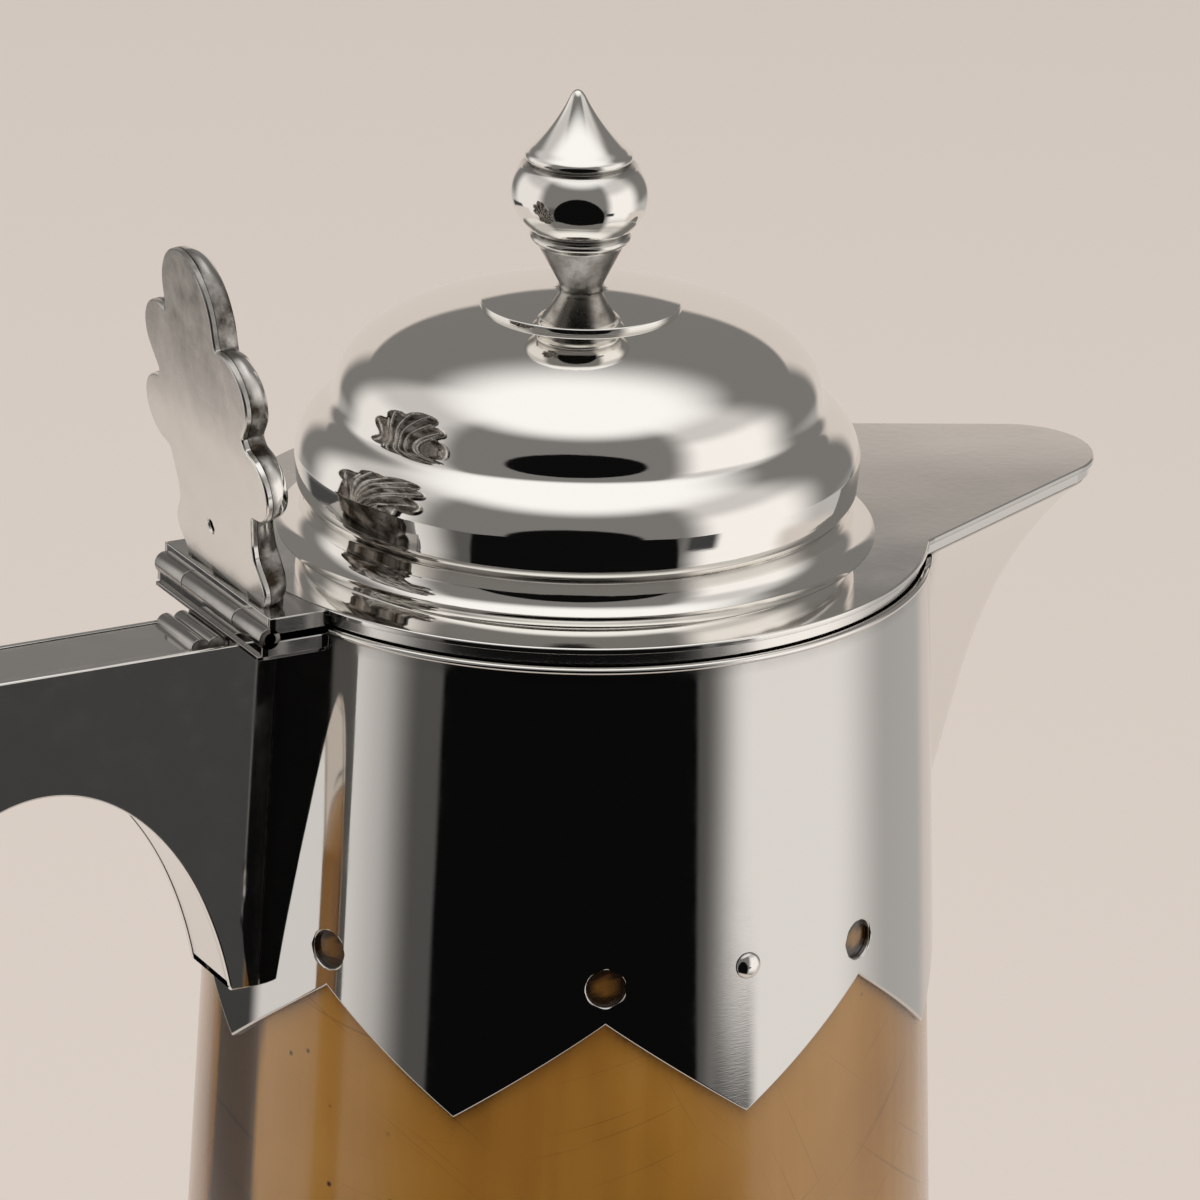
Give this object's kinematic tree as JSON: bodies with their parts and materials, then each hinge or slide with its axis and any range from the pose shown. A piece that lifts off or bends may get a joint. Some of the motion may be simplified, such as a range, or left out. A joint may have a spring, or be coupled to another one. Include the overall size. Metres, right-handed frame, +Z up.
{
  "type": "silver-mounted horn coffee jug",
  "caption": "Tapering horn jug with zigzag-edged silver collar and foot, keeled spout, loop handle and a hinged domed lid with finial and palmette thumbpiece.",
  "frame": {"origin": "centre of the flat base plate, on the surface the jug stands on", "axes": "+X towards the spout, -X towards the handle, +Y across the jug along the lid hinge, +Z up the body"},
  "size_m": [0.1749, 0.1052, 0.2435],
  "materials": {
    "polished_silver": "polished, lightly tarnished in grooves",
    "inner_silver": "dull, unpolished inside",
    "fixing_metal": "drawn wire and turned",
    "horn": "polished amber-brown horn with fine scratches"
  },
  "bodies": {
    "jug": {"collar": "polished_silver", "collar_rim_wire": "polished_silver", "spout": "polished_silver", "collar_rivets": "polished_silver", "foot_band": "polished_silver", "foot_ring": "polished_silver", "foot_rivets": "polished_silver", "handle_near_side": "polished_silver", "handle_far_side": "polished_silver", "handle_back_strip": "polished_silver", "handle_grip_strip": "polished_silver", "handle_moulding": "polished_silver", "hinge_sole_plate": "polished_silver", "hinge_lower_leaf": "polished_silver", "rim_lining": "inner_silver", "base_plate": "inner_silver", "hinge_pin": "fixing_metal", "horn_body": "horn", "base_plug": "horn"},
    "lid": {"lid_plate": "polished_silver", "lid_edge_band": "polished_silver", "lid_bezel": "inner_silver", "lid_dome": "polished_silver", "finial_disc": "polished_silver", "finial_knob": "polished_silver", "finial_stud": "fixing_metal", "finial_washer": "fixing_metal", "finial_nut": "fixing_metal", "thumbpiece_back": "polished_silver", "thumbpiece_front": "polished_silver", "hinge_upper_leaf": "polished_silver"}
  },
  "joints": [
    {"name": "lid_hinge", "type": "hinge", "parent": "jug", "child": "lid", "pos_m": [-0.04533, 0, 0.18981], "axis": [0, -1, 0], "range_deg": [0, 85]}
  ]
}
